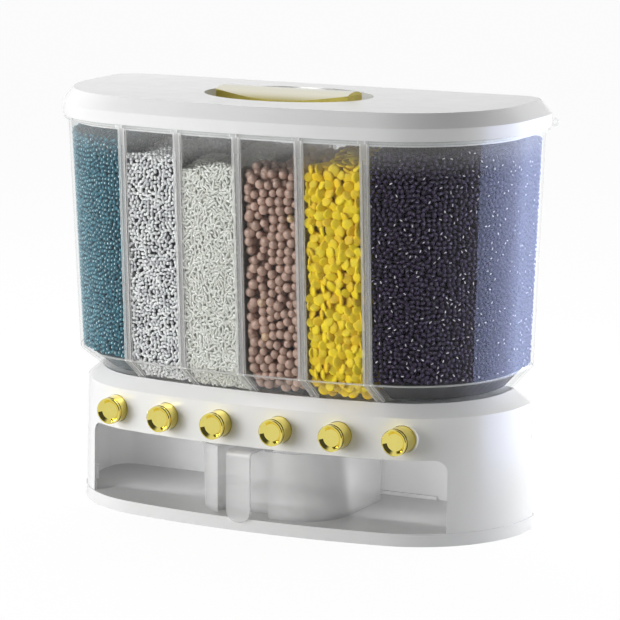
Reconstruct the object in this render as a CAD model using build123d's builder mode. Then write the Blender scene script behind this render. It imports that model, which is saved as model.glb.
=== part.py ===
from build123d import *
import os
from dataclasses import dataclass
from math import sqrt

# Wall-hung cereal dispenser in millimetres.
# X runs along the wall, +Y points into the wall, +Z is up.
# The origin is the centre of the overall box, on the surface that the base can stand on.

# Overall plan of the lid
lid_width = 420.0
lid_depth = 184.0
lid_bow_radius = 747.0
lid_corner_radius = 106.0
lid_rear_radius = 33.0

# Plan of the base
base_width = 401.0
base_front_depth = 157.0
base_back_depth = 25.5
base_bow_radius = 717.0
base_corner_radius = 98.0
base_rear_radius = 18.0
base_draft = 2.4
tray_flare = 0.3
tray_step = 0.8

# Heights above the standing surface
tray_height = 10.5
opening_top = 71.0
button_height = 88.3
shoulder_foot = 105.5
seat_height = 116.0
knee_height = 134.0
tank_top = 333.0
skirt_height = 10.5
bevel_height = 11.5

# Steps between the stacked outlines
shoulder_side_inset = 15.0
shoulder_front_inset = 7.5
shoulder_back_inset = 7.5
shoulder_corner_loss = 12.0
foot_margin = 1.5
lid_overhang = 4.3
tank_draft = 8.1
bevel_inset = 9.0

# Walls
base_wall = 3.0
tray_wall = 2.5
tank_wall = 2.5
lid_wall = 2.5

# Clearances
slide_gap = 0.3
rod_gap = 0.05
part_gap = 0.2

# Front opening of the base
opening_half_width = 165.7
opening_corner_radius = 10.0
opening_reach = 75.0
edge_round = 1.0

# Tray under the base
tray_rib_thickness = 2.0
tray_rib_spacing = 52.0
tray_rib_count = 7
screw_boss_diameter = 8.0
screw_boss_height = 12.0
screw_diameter = 3.0
screw_head_diameter = 5.6
screw_head_height = 2.2
screw_length = 13.0
side_screw_depth = 90.0
screw_boss_inset = 3.0
locating_rib_length = 220.0
locating_rib_height = 3.0

# Compartments
compartment_pitch = 55.4
divider_count = 5
divider_thickness = 2.0
channel_wall = 1.4
channel_depth = 3.0
divider_top_drop = 6.0

# Tank rim and hanging ears
rim_thickness = 2.6
rim_setback = 0.6
ear_height = 7.0
ear_thickness = 3.0
ear_tip_x = 205.5
ear_root_x = 160.0
ear_hole_radius = 1.8

# Buttons
button_inner_x = 27.6
button_middle_x = 79.9
button_outer_x = 132.8
button_protrusion = 16.0
button_stroke = 14.0
button_diameter = 22.4
button_face_diameter = 22.0
button_rim_width = 1.7
button_dish_slope = 2.1
button_dish_depth = 2.6
button_face_thickness = 2.4
button_groove_depth = 1.0
button_groove_width = 1.2
button_length = 24.0
button_bore = 16.8
button_web = 3.0
guide_wall = 1.3
guide_length = 12.0

# Shutters
shutter_thickness = 3.0
shutter_width = 42.0
shutter_lip = 5.0
shutter_rear = 3.2
outlet_width = 34.0
outlet_length = 14.0
outlet_wall = 1.8
rod_diameter = 6.0
socket_wall = 1.4
socket_length = 6.0

# Return springs
spring_diameter = 12.0
spring_wire = 1.0

# Chute deck
deck_thickness = 2.5
deck_ledge = 2.0
guide_rib_thickness = 2.5
guide_floor = 1.6
stop_gap = 0.5
rail_thickness = 1.8
rail_lip = 2.0
post_diameter = 8.0
side_post_depth = 72.0

# Hopper
hopper_plate = 2.5
hopper_wall = 1.8
funnel_margin_front = 6.0
funnel_margin_back = 10.0
funnel_margin_side = 19.0
funnel_web = 3.4
side_funnel_front = 94.0

# Lid
plug_depth = 5.0
plug_thickness = 3.2
plug_gap = 0.8
seal_height = 2.4
seal_groove = 1.2
seal_gap = 0.35
recess_half_width = 74.0
recess_half_depth = 52.4
recess_centre_depth = 86.6
recess_draft = 5.0
recess_depth = 18.0

# Lid handle
handle_length = 122.0
handle_width = 46.0
handle_end_width = 26.0
handle_thickness = 5.0
handle_leg = 7.5
handle_crown = 8.0
handle_proud = 5.0
handle_screw_diameter = 3.5
handle_screw_head = 6.6
handle_screw_length = 14.0

# Measuring cup
cup_width = 133.0
cup_depth = 118.0
cup_height = 57.0
cup_front_radius = 42.0
cup_rear_radius = 22.0
cup_draft = 1.5
cup_wall = 2.0
cup_rim = 1.6
cup_rim_height = 2.0
cup_x = 3.5
cup_front = 152.5
grip_x = -7.5
grip_width = 22.0
grip_thickness = 2.6
grip_proud = 11.0
grip_drop = 3.0
grip_root_radius = 6.0
finger_x = -10.0
finger_width = 46.0
finger_depth = 15.0
finger_radius = 8.0


@dataclass(frozen=True)
class Plan:
    """A straight-backed outline with a bowed front and rounded corners.

    half is half the width, front and back are distances from the wall, bow is the
    radius of the front, corner that of the front corners and rear that of the back ones.
    """

    half: float
    front: float
    back: float
    bow: float
    corner: float
    rear: float

    def inset(self, amount):
        """The same outline moved inwards by amount, or outwards where it is negative."""
        return Plan(
            self.half - amount,
            self.front - amount,
            self.back + amount,
            self.bow - amount,
            self.corner - amount,
            max(self.rear - amount, edge_round),
        )

    def front_at(self, x):
        """Distance from the wall to the front outline at x."""
        corner_x = self.half - self.corner
        reach = self.bow - self.corner
        rise = sqrt(reach**2 - corner_x**2)
        tangent_x = self.bow * corner_x / reach
        if abs(x) <= tangent_x:
            return self.front - self.bow + sqrt(self.bow**2 - x**2)
        corner_y = self.front - self.bow + rise
        return corner_y + sqrt(self.corner**2 - (abs(x) - corner_x) ** 2)

    def side_at(self, depth):
        """Half width of the outline at a distance from the wall beside the front corners."""
        corner_x = self.half - self.corner
        corner_y = self.front - self.bow + sqrt((self.bow - self.corner) ** 2 - corner_x**2)
        if depth <= corner_y:
            return self.half
        return corner_x + sqrt(self.corner**2 - (depth - corner_y) ** 2)


wall_y = lid_depth / 2
lid_plan = Plan(lid_width / 2, lid_depth, 0.0, lid_bow_radius, lid_corner_radius, lid_rear_radius)
bevel_plan = lid_plan.inset(bevel_inset)
tank_top_plan = lid_plan.inset(lid_overhang)
knee_plan = tank_top_plan.inset(tank_draft)
base_plan = Plan(
    base_width / 2, base_front_depth, base_back_depth, base_bow_radius, base_corner_radius, base_rear_radius
)
base_foot_plan = base_plan.inset(-base_draft)
tray_top_plan = base_foot_plan.inset(-tray_step)
tray_foot_plan = tray_top_plan.inset(-tray_flare)
seat_plan = Plan(
    base_plan.half - shoulder_side_inset,
    base_plan.front - shoulder_front_inset,
    base_plan.back + shoulder_back_inset,
    base_plan.bow - shoulder_front_inset,
    base_plan.corner - shoulder_corner_loss,
    base_plan.rear - shoulder_back_inset,
)
tank_foot_plan = seat_plan.inset(foot_margin)

skirt_top = tank_top + skirt_height
lid_top = skirt_top + bevel_height
right_button_xs = (button_inner_x, button_middle_x, button_outer_x)
button_xs = (*(-x for x in reversed(right_button_xs)), *right_button_xs)
divider_xs = [(n - (divider_count - 1) / 2) * compartment_pitch for n in range(divider_count)]
divider_top = tank_top - divider_top_drop
slot_width = divider_thickness + 2 * part_gap
channel_width = slot_width + 2 * channel_wall

# Distances from a button's place on the front surface, measured inwards
rib_distance = button_length - button_protrusion + button_stroke + stop_gap
rib_back = rib_distance + guide_rib_thickness
plate_front = rib_back + slide_gap
window_front = plate_front + shutter_lip
outlet_front = window_front + outlet_length + 1.0
plate_back = outlet_front + outlet_length + shutter_rear

recess_y = wall_y - recess_centre_depth
handle_screw_x = handle_length / 2 - handle_leg / 2
shutter_bottom = button_height - shutter_thickness / 2
shutter_top = shutter_bottom + shutter_thickness
chute_top = shutter_bottom - slide_gap
funnel_bottom = shutter_top + slide_gap
deck_bottom = opening_top
deck_top = deck_bottom + deck_thickness
hopper_bottom = seat_height - hopper_plate


def plan_face(plan):
    """The filled outline of a plan on the XY plane."""
    side = wall_y - (plan.front - plan.bow + sqrt(plan.bow**2 - plan.half**2))
    front = wall_y - plan.front
    back = wall_y - plan.back
    with BuildSketch() as face:
        with BuildLine():
            ThreePointArc((-plan.half, side), (0, front), (plan.half, side))
            Polyline((plan.half, side), (plan.half, back), (-plan.half, back), (-plan.half, side))
        make_face()
        fillet(face.vertices().group_by(Axis.Y)[0], plan.corner)
        fillet(face.vertices().group_by(Axis.Y)[-1], plan.rear)
    return face.sketch


def stack(*levels):
    """A solid through plans at rising heights, each level a pair of height and plan."""
    with BuildPart() as body:
        for (low, low_plan), (high, high_plan) in zip(levels, levels[1:]):
            with BuildSketch(Plane.XY.offset(low)):
                add(plan_face(low_plan))
            with BuildSketch(Plane.XY.offset(high)):
                add(plan_face(high_plan))
            loft(ruled=True)
    return body.part


def surface_y(x):
    """Y of the base's front surface at x."""
    return wall_y - base_plan.front_at(x)


def base_at(height):
    """The base's outline at a height between the tray and the shoulder."""
    return base_plan.inset(-base_draft * (shoulder_foot - height) / (shoulder_foot - tray_height))


def screw_places():
    """Centres of the three tray screws: one at the back wall, one at each side wall."""
    rear_y = wall_y - base_foot_plan.back - base_wall - screw_boss_inset
    side_x = base_foot_plan.side_at(side_screw_depth) - base_wall - screw_boss_inset
    side_y = wall_y - side_screw_depth
    return [(0, rear_y), (-side_x, side_y), (side_x, side_y)]


def save(part, label):
    """Label a finished piece and write its file."""
    part.label = label
    export_step(part, f"parts/{label}.step")


# Tray: a shallow inverted pan whose top is the bay's floor, with a rib that locates the base's back wall
def make_tray():
    floor = tray_height - tray_wall
    hollow = stack((0, tray_foot_plan.inset(tray_wall)), (floor, tray_top_plan.inset(tray_wall)))
    rib_y = wall_y - base_foot_plan.back - base_wall - part_gap - tray_rib_thickness / 2
    with BuildPart() as tray:
        add(stack((0, tray_foot_plan), (tray_height, tray_top_plan)))
        add(hollow, mode=Mode.SUBTRACT)
        with BuildPart(mode=Mode.PRIVATE) as ribs:
            with BuildSketch():
                with Locations((0, wall_y - (base_plan.front + base_plan.back) / 2)):
                    with GridLocations(tray_rib_spacing, 0, tray_rib_count, 1):
                        Rectangle(tray_rib_thickness, base_plan.front)
                    Rectangle(base_width, tray_rib_thickness)
                with Locations(*screw_places()):
                    Circle(screw_boss_diameter / 2)
            extrude(amount=floor)
            add(hollow, mode=Mode.INTERSECT)
        add(ribs.part)
        with BuildSketch(Plane.XY.offset(tray_height)):
            with Locations((0, rib_y)):
                Rectangle(locating_rib_length, tray_rib_thickness)
            with Locations(screw_places()[0]):
                Circle(screw_boss_diameter / 2 + part_gap, mode=Mode.SUBTRACT)
        extrude(amount=locating_rib_height)
        with Locations(*[(x, y, 0) for x, y in screw_places()]):
            Cylinder(screw_diameter / 2 + rod_gap, tray_height, align=(Align.CENTER, Align.CENTER, Align.MIN),
                     mode=Mode.SUBTRACT)
            Cylinder(screw_head_diameter / 2 + part_gap, floor - screw_head_height,
                     align=(Align.CENTER, Align.CENTER, Align.MIN), mode=Mode.SUBTRACT)
    save(tray.part, "base_tray")


# Tray screws: three pan heads under the tray, driven up into the base's posts
def make_tray_screws():
    head_bottom = tray_height - tray_wall - 2 * screw_head_height
    with BuildPart() as screws:
        with Locations(*[(x, y, head_bottom) for x, y in screw_places()]):
            Cylinder(screw_head_diameter / 2, screw_head_height, align=(Align.CENTER, Align.CENTER, Align.MIN))
            Cylinder(screw_diameter / 2, screw_length, align=(Align.CENTER, Align.CENTER, Align.MIN))
    save(screws.part, "tray_screws")


# Base housing: drafted shell with a sloped shoulder, button guides and the bay's opening
def make_housing():
    with BuildPart() as housing:
        add(stack((tray_height, base_foot_plan), (shoulder_foot, base_plan), (seat_height, seat_plan)))
        add(
            stack(
                (tray_height, base_foot_plan.inset(base_wall)),
                (shoulder_foot, base_plan.inset(base_wall)),
                (seat_height, seat_plan.inset(base_wall)),
            ),
            mode=Mode.SUBTRACT,
        )
        for x in button_xs:
            front = surface_y(x)
            with BuildSketch(Plane((x, front + guide_length, button_height), x_dir=(1, 0, 0), z_dir=(0, -1, 0))):
                Circle(button_diameter / 2 + slide_gap + guide_wall)
            extrude(amount=guide_length - base_wall / 2)
        add(ledge())
        with Locations(*[(x, y, tray_height) for x, y in screw_places()]):
            Cylinder(screw_boss_diameter / 2, screw_boss_height, align=(Align.CENTER, Align.CENTER, Align.MIN))
            Cylinder(screw_diameter / 2 + rod_gap, screw_boss_height - base_wall,
                     align=(Align.CENTER, Align.CENTER, Align.MIN), mode=Mode.SUBTRACT)
        for x in button_xs:
            front = surface_y(x)
            with BuildSketch(Plane((x, front + guide_length, button_height), x_dir=(1, 0, 0), z_dir=(0, -1, 0))):
                Circle(button_diameter / 2 + slide_gap)
            extrude(amount=2 * guide_length, mode=Mode.SUBTRACT)
        mouth_place = Plane((0, wall_y - base_front_depth - base_wall, 0), x_dir=(1, 0, 0), z_dir=(0, -1, 0))
        with BuildSketch(mouth_place) as mouth:
            with Locations((0, opening_top / 2)):
                Rectangle(2 * opening_half_width, opening_top)
            fillet(mouth.vertices().group_by(Axis.Y)[-1], opening_corner_radius)
        extrude(amount=-opening_reach, mode=Mode.SUBTRACT)
    save(housing.part, "base_housing")


def ledge():
    """A narrow shelf inside the base that carries the chute deck, clear of the opening."""
    low = deck_bottom - deck_ledge
    outer = base_at(deck_bottom).inset(base_wall / 2)
    inner = outer.inset(1.5 * base_wall)
    with BuildPart() as shelf:
        add(stack((low, outer), (deck_bottom, outer)))
        add(stack((low, inner), (deck_bottom, inner)), mode=Mode.SUBTRACT)
        with Locations((0, wall_y - base_front_depth, low)):
            Box(2 * opening_half_width, 2 * opening_reach, deck_ledge,
                align=(Align.CENTER, Align.CENTER, Align.MIN), mode=Mode.SUBTRACT)
    return shelf.part


# Chute deck: the bay's ceiling with six outlets, and four posts that carry the hopper
def make_deck():
    outline = base_at(deck_top).inset(base_wall + part_gap)
    with BuildPart() as deck:
        add(stack((deck_bottom, outline), (deck_top, outline)))
        with BuildSketch(Plane.XY.offset(deck_bottom)):
            with Locations(*[(x, outlet_y(x)) for x in button_xs]):
                Rectangle(outlet_width, outlet_length)
        extrude(amount=deck_thickness, mode=Mode.SUBTRACT)
        with Locations(*[(x, y, deck_top) for x, y in post_places()]):
            Cylinder(post_diameter / 2, hopper_bottom - deck_top, align=(Align.CENTER, Align.CENTER, Align.MIN))
    save(deck.part, "chute_deck")


def outlet_y(x):
    """Y of the middle of the outlet behind the button at x."""
    return surface_y(x) + outlet_front + outlet_length / 2


# Shutter guide: a floored channel on the deck with a chute, two rails and the spring's seat
def make_guide(number, x):
    front = surface_y(x)
    rail_x = shutter_width / 2 + slide_gap + rail_thickness / 2
    length = plate_back + button_stroke - rib_distance
    with BuildPart() as guide:
        with BuildSketch(Plane((x, front + rib_distance + length / 2, deck_top))):
            Rectangle(2 * rail_x + rail_thickness, length)
        extrude(amount=guide_floor)
        with BuildSketch(Plane((x, outlet_y(x), deck_top))):
            Rectangle(outlet_width + 2 * outlet_wall, outlet_length + 2 * outlet_wall)
        extrude(amount=chute_top - deck_top)
        with BuildSketch(Plane((x, front + rib_distance + length / 2, deck_top))):
            with Locations((-rail_x, 0), (rail_x, 0)):
                Rectangle(rail_thickness, length)
        extrude(amount=shutter_top + rail_lip - deck_top)
        with BuildSketch(Plane((x, front + rib_distance + guide_rib_thickness / 2, deck_top))):
            Rectangle(2 * rail_x + rail_thickness, guide_rib_thickness)
        extrude(amount=button_height + rod_diameter + rail_lip - deck_top)
        with BuildSketch(Plane((x, outlet_y(x), deck_top))):
            Rectangle(outlet_width, outlet_length)
        extrude(amount=chute_top - deck_top, mode=Mode.SUBTRACT)
        with BuildSketch(Plane((x, front + rib_back, button_height), x_dir=(1, 0, 0), z_dir=(0, -1, 0))):
            Circle(rod_diameter / 2 + slide_gap)
        extrude(amount=guide_rib_thickness, mode=Mode.SUBTRACT)
    save(guide.part, f"shutter_guide_{number}")


def post_places():
    """Centres of the posts that carry the hopper: two near the back and two beside the outer chutes."""
    rear_y = wall_y - seat_plan.back - 2 * base_wall - post_diameter / 2
    side_y = wall_y - side_post_depth
    side_x = seat_plan.half - 2 * base_wall - post_diameter / 2
    return [(-side_x, rear_y), (side_x, rear_y), (-side_x, side_y), (side_x, side_y)]


# Shutter: a sliding plate with a window, moved by the rod that its button sits on
def make_shutter(number, x):
    front = surface_y(x)
    window_back = window_front + outlet_length
    rod_end = button_face_thickness + button_web - button_protrusion
    with BuildPart() as shutter:
        with BuildSketch(Plane((x, front + (plate_front + plate_back) / 2, shutter_bottom))):
            RectangleRounded(shutter_width, plate_back - plate_front, edge_round)
        extrude(amount=shutter_thickness)
        with BuildSketch(Plane((x, front + (window_front + window_back) / 2, shutter_bottom))):
            RectangleRounded(outlet_width, outlet_length, edge_round)
        extrude(amount=shutter_thickness, mode=Mode.SUBTRACT)
        rod_root = plate_front + edge_round
        with BuildSketch(Plane((x, front + rod_root, button_height), x_dir=(1, 0, 0), z_dir=(0, -1, 0))):
            Circle(rod_diameter / 2)
        extrude(amount=rod_root - rod_end)
    save(shutter.part, f"shutter_{number}")


# Button: a barrel with a dished face, a shadow groove and a socket for the rod
def make_button(number, x):
    face_y = surface_y(x) - button_protrusion
    face_r = button_face_diameter / 2
    body_r = button_diameter / 2
    bore_r = button_bore / 2
    dish_r = face_r - button_rim_width
    floor_r = dish_r - button_dish_slope
    neck_r = face_r - button_groove_depth
    neck_end = button_face_thickness + button_groove_width
    inner = button_face_thickness + button_web
    rod_r = rod_diameter / 2 + rod_gap
    place = Plane((x, face_y, button_height))
    with BuildPart() as knob:
        with BuildSketch(place) as profile:
            with BuildLine():
                Polyline(
                    (0, button_dish_depth),
                    (floor_r, button_dish_depth),
                    (dish_r, edge_round / 2),
                    (dish_r + button_rim_width / 3, 0),
                    (face_r - button_rim_width / 3, 0),
                    (face_r, edge_round / 2),
                    (face_r, button_face_thickness),
                    (neck_r, button_face_thickness),
                    (neck_r, neck_end),
                    (body_r, neck_end),
                    (body_r, button_length),
                    (bore_r, button_length),
                    (bore_r, inner),
                    (rod_r + socket_wall, inner),
                    (rod_r + socket_wall, inner + socket_length),
                    (rod_r, inner + socket_length),
                    (rod_r, inner),
                    (0, inner),
                    (0, button_dish_depth),
                )
            make_face()
        revolve(axis=Axis((x, face_y, button_height), (0, 1, 0)))
    save(knob.part, f"button_{number}")


# Return spring: a plain sleeve that fills the space of the coil between button and rib
def make_spring(number, x):
    rear = surface_y(x) + rib_distance
    length = rib_distance + button_protrusion - button_face_thickness - button_web
    with BuildPart() as spring:
        with BuildSketch(Plane((x, rear, button_height), x_dir=(1, 0, 0), z_dir=(0, -1, 0))):
            Circle(spring_diameter / 2)
            Circle(spring_diameter / 2 - spring_wire, mode=Mode.SUBTRACT)
        extrude(amount=length)
    save(spring.part, f"return_spring_{number}")


def funnel_mouth(index):
    """Low x, high x, low y and high y of a funnel's mouth in the hopper's top."""
    middle = (len(button_xs) - 1) / 2
    inner_edge = (abs(index - middle) - 0.5) * compartment_pitch + funnel_web / 2
    outer_edge = inner_edge + compartment_pitch - funnel_web
    front = seat_plan.front_at(outer_edge) - base_wall - funnel_margin_front
    if index in (0, len(button_xs) - 1):
        outer_edge = seat_plan.half - base_wall - funnel_margin_side
        front = side_funnel_front
    low_y = wall_y - front
    high_y = wall_y - seat_plan.back - base_wall - funnel_margin_back
    if index < middle:
        return -outer_edge, -inner_edge, low_y, high_y
    return inner_edge, outer_edge, low_y, high_y


def funnel(index, grow):
    """A rectangular funnel from the hopper's top to its outlet, its faces moved outwards by grow."""
    x = button_xs[index]
    low_x, high_x, low_y, high_y = funnel_mouth(index)
    with BuildPart() as body:
        with BuildSketch(Plane((x, outlet_y(x), funnel_bottom))):
            Rectangle(outlet_width + 2 * grow, outlet_length + 2 * grow)
        with BuildSketch(Plane(((low_x + high_x) / 2, (low_y + high_y) / 2, seat_height))):
            Rectangle(high_x - low_x + 2 * grow, high_y - low_y + 2 * grow)
        loft(ruled=True)
    return body.part


# Hopper: six tapered funnels under one flange, between the tank and the chute deck
def make_hopper():
    outline = seat_plan.inset(base_wall + part_gap)
    with BuildPart() as hopper:
        add(stack((hopper_bottom, outline), (seat_height, outline)))
        for index in range(len(button_xs)):
            add(funnel(index, hopper_wall))
        with BuildSketch(Plane.XY.offset(seat_height)):
            Rectangle(lid_width, lid_depth)
        extrude(amount=hopper_plate, mode=Mode.SUBTRACT)
        for index in range(len(button_xs)):
            add(funnel(index, 0), mode=Mode.SUBTRACT)
    save(hopper.part, "hopper")


# Tank: clear tapered shell with a chamfered foot, divider channels, rim and hanging ears
def make_tank():
    inner = [
        (seat_height, tank_foot_plan.inset(tank_wall)),
        (knee_height, knee_plan.inset(tank_wall)),
        (tank_top, tank_top_plan.inset(tank_wall)),
    ]
    lined = [(height, plan.inset(channel_depth)) for height, plan in inner]
    with BuildPart() as channels:
        with BuildSketch(Plane.XY.offset(seat_height)):
            with Locations(*[(x, 0) for x in divider_xs]):
                Rectangle(channel_width, lid_depth)
                Rectangle(slot_width, lid_depth, mode=Mode.SUBTRACT)
        extrude(amount=divider_top - seat_height)
        add(stack(*inner), mode=Mode.INTERSECT)
        add(stack(*lined), mode=Mode.SUBTRACT)
    with BuildPart() as tank:
        add(stack((seat_height, tank_foot_plan), (knee_height, knee_plan), (tank_top, tank_top_plan)))
        rim = lid_plan.inset(rim_setback)
        add(stack((tank_top - rim_thickness, rim), (tank_top, rim)))
        add(stack(*inner), mode=Mode.SUBTRACT)
        add(channels.part)
        add(ears())
    save(tank.part, "tank_shell")


def ears():
    """The two lugs on the rim's back edge, holed for the wall hooks."""
    low = tank_top - rim_thickness
    rise_x = lid_plan.half - lid_plan.rear / 2
    with BuildPart() as pair:
        with BuildSketch(Plane((0, wall_y, low), x_dir=(1, 0, 0), z_dir=(0, -1, 0))) as tab:
            with BuildLine():
                Polyline(
                    (ear_root_x, 0),
                    (ear_tip_x, 0),
                    (ear_tip_x, ear_height),
                    (rise_x, ear_height),
                    (rise_x, rim_thickness),
                    (ear_root_x, rim_thickness),
                    (ear_root_x, 0),
                )
            make_face()
            fillet(tab.vertices().group_by(Axis.X)[-1], ear_height / 2 - 0.1)
            with Locations((ear_tip_x - ear_height / 2, ear_height / 2)):
                Circle(ear_hole_radius, mode=Mode.SUBTRACT)
            mirror(about=Plane.YZ)
        extrude(amount=ear_thickness)
    return pair.part


# Divider: a clear blade that drops into a front and a back channel
def make_divider(number, x):
    room = [
        (seat_height, tank_foot_plan.inset(tank_wall + part_gap)),
        (knee_height, knee_plan.inset(tank_wall + part_gap)),
        (tank_top, tank_top_plan.inset(tank_wall + part_gap)),
    ]
    with BuildPart() as blade:
        with BuildSketch(Plane((x, 0, seat_height))):
            Rectangle(divider_thickness, lid_depth)
        extrude(amount=divider_top - seat_height)
        add(stack(*room), mode=Mode.INTERSECT)
    save(blade.part, f"divider_{number}")


def well(depth, grow):
    """The oval well under the lid's top, its walls and floor moved outwards by grow."""
    with BuildPart() as bowl:
        with BuildSketch(Plane((0, recess_y, lid_top - depth))):
            Ellipse(recess_half_width - recess_draft + grow, recess_half_depth - recess_draft + grow)
        with BuildSketch(Plane((0, recess_y, lid_top))):
            Ellipse(recess_half_width + grow, recess_half_depth + grow)
        loft(ruled=True)
    return bowl.part


# Lid: bevelled cap with an oval well and a plug that enters the tank
def make_lid():
    bottom = tank_top + part_gap
    plug_plan = tank_top_plan.inset(tank_wall + plug_gap)
    plug_bottom = tank_top - plug_depth
    plug_top = lid_top - lid_wall
    floor = lid_top - recess_depth
    with BuildPart() as lid:
        add(stack((bottom, lid_plan), (skirt_top, lid_plan), (lid_top, bevel_plan)))
        add(
            stack(
                (bottom, lid_plan.inset(lid_wall)),
                (skirt_top - lid_wall / 2, lid_plan.inset(lid_wall)),
                (lid_top - lid_wall, bevel_plan.inset(lid_wall)),
            ),
            mode=Mode.SUBTRACT,
        )
        add(stack((plug_bottom, plug_plan), (plug_top, plug_plan)))
        add(stack((plug_bottom, plug_plan.inset(plug_thickness)), (plug_top, plug_plan.inset(plug_thickness))),
            mode=Mode.SUBTRACT)
        add(seal_ring(plug_plan.inset(-plug_gap)), mode=Mode.SUBTRACT)
        add(well(recess_depth + lid_wall, lid_wall))
        add(well(recess_depth, 0), mode=Mode.SUBTRACT)
        with Locations(*[(x, recess_y, floor) for x in (-handle_screw_x, handle_screw_x)]):
            Cylinder(handle_screw_diameter / 2 + rod_gap, 3 * lid_wall, mode=Mode.SUBTRACT)
    save(lid.part, "lid")


def seal_ring(outer):
    """A flat ring at the plug's groove, out to the given plan."""
    low = tank_top - plug_depth + (plug_depth - seal_height) / 2
    high = low + seal_height
    inner = tank_top_plan.inset(tank_wall + plug_gap + seal_groove)
    with BuildPart() as ring:
        add(stack((low, outer), (high, outer)))
        add(stack((low, inner), (high, inner)), mode=Mode.SUBTRACT)
    return ring.part


# Lid seal: a soft ring in the plug's groove, just short of the tank's wall
def make_seal():
    save(seal_ring(tank_top_plan.inset(tank_wall + seal_gap)), "lid_seal")


# Lid handle: a bridge with bowed sides and a crowned top that spans the well
def make_handle():
    floor = lid_top - recess_depth
    height = recess_depth + handle_proud
    half = handle_length / 2
    brow = height - handle_crown
    with BuildPart() as handle:
        with BuildSketch(Plane((0, recess_y, floor))):
            with BuildLine():
                ThreePointArc((-half, handle_end_width / 2), (0, handle_width / 2), (half, handle_end_width / 2))
                Line((half, handle_end_width / 2), (half, -handle_end_width / 2))
                ThreePointArc((half, -handle_end_width / 2), (0, -handle_width / 2), (-half, -handle_end_width / 2))
                Line((-half, -handle_end_width / 2), (-half, handle_end_width / 2))
            make_face()
        extrude(amount=height)
        with BuildSketch(Plane((-half, recess_y, floor), x_dir=(0, 1, 0), z_dir=(1, 0, 0))):
            with BuildLine():
                ThreePointArc((-handle_width / 2, brow), (0, height), (handle_width / 2, brow))
                Polyline((handle_width / 2, brow), (handle_width / 2, 0), (-handle_width / 2, 0),
                         (-handle_width / 2, brow))
            make_face()
        extrude(amount=handle_length, mode=Mode.INTERSECT)
        with BuildSketch(Plane((0, recess_y + handle_width, floor), x_dir=(1, 0, 0), z_dir=(0, -1, 0))) as gap:
            Rectangle(handle_length - 2 * handle_leg, brow - handle_thickness / 2, align=(Align.CENTER, Align.MIN))
            fillet(gap.vertices().group_by(Axis.Y)[-1], handle_thickness)
        extrude(amount=2 * handle_width, mode=Mode.SUBTRACT)
        with Locations(*[(x, recess_y, floor) for x in (-handle_screw_x, handle_screw_x)]):
            Cylinder(handle_screw_diameter / 2 + rod_gap, handle_screw_length - lid_wall,
                     align=(Align.CENTER, Align.CENTER, Align.MIN), mode=Mode.SUBTRACT)
    save(handle.part, "lid_handle")


# Handle screws: two screws from inside the lid into the handle's legs
def make_handle_screws():
    head_top = lid_top - recess_depth - lid_wall
    with BuildPart() as screws:
        with Locations(*[(x, recess_y, head_top) for x in (-handle_screw_x, handle_screw_x)]):
            Cylinder(handle_screw_head / 2, screw_head_height, align=(Align.CENTER, Align.CENTER, Align.MAX))
            Cylinder(handle_screw_diameter / 2, handle_screw_length - part_gap,
                     align=(Align.CENTER, Align.CENTER, Align.MIN))
    save(screws.part, "handle_screws")


def cup_plan(inset):
    """The cup's outline with its finger recess, moved inwards by inset."""
    left = cup_x - cup_width / 2 + inset
    right = cup_x + cup_width / 2 - inset
    front = wall_y - cup_front + inset
    back = wall_y - cup_front + cup_depth - inset
    with BuildSketch() as plan:
        with BuildLine():
            Polyline((left, front), (right, front), (right, back), (left, back), (left, front))
        make_face()
        fillet(plan.vertices().group_by(Axis.Y)[0], cup_front_radius - inset)
        fillet(plan.vertices().group_by(Axis.Y)[-1], cup_rear_radius - inset)
        with BuildSketch(mode=Mode.PRIVATE) as notch:
            with Locations((finger_x, wall_y - cup_front)):
                Rectangle(finger_width + 2 * inset, 2 * finger_depth + 2 * inset)
            fillet(notch.vertices().group_by(Axis.Y)[-1], finger_radius + inset)
        add(notch.sketch, mode=Mode.SUBTRACT)
    return plan.sketch


def strap(low, top):
    """The cup's grip: a round-ended strap that bends back into the cup's rim."""
    front = wall_y - cup_front - grip_proud
    back = wall_y - cup_front + finger_depth + cup_wall / 2
    inner = front + grip_thickness
    under = top - grip_thickness
    with BuildPart() as band:
        with BuildSketch(Plane((grip_x - grip_width / 2, 0, 0), x_dir=(0, 1, 0), z_dir=(1, 0, 0))) as side:
            with BuildLine():
                Polyline((front, low), (front, top), (back, top), (back, under))
                Polyline((back, under), (inner, under), (inner, low), (front, low))
            make_face()
            fillet(side.vertices().sort_by_distance((front, top, 0))[0], grip_root_radius)
            fillet(side.vertices().sort_by_distance((inner, under, 0))[0], grip_root_radius - grip_thickness)
        extrude(amount=grip_width)
        with BuildSketch(Plane((grip_x, back, low), x_dir=(1, 0, 0), z_dir=(0, -1, 0))) as face:
            Rectangle(grip_width, top - low, align=(Align.CENTER, Align.MIN))
            fillet(face.vertices().group_by(Axis.Y)[0], grip_width / 2 - edge_round)
        extrude(amount=back - front, mode=Mode.INTERSECT)
    return band.part


# Measuring cup: a drafted open box with a small rim, a finger recess and a strap grip over the tray's edge
def make_cup():
    low = tray_height + part_gap
    top = low + cup_height
    with BuildPart() as cup:
        with BuildSketch(Plane.XY.offset(low)):
            add(cup_plan(cup_draft))
        with BuildSketch(Plane.XY.offset(top)):
            add(cup_plan(0))
        loft(ruled=True)
        with BuildSketch(Plane.XY.offset(top - cup_rim_height)):
            add(cup_plan(-cup_rim))
        extrude(amount=cup_rim_height)
        with BuildSketch(Plane.XY.offset(low + cup_wall)):
            add(cup_plan(cup_draft + cup_wall))
        with BuildSketch(Plane.XY.offset(top)):
            add(cup_plan(cup_wall))
        loft(ruled=True, mode=Mode.SUBTRACT)
        add(strap(low - grip_drop, top))
    save(cup.part, "measuring_cup")


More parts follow.
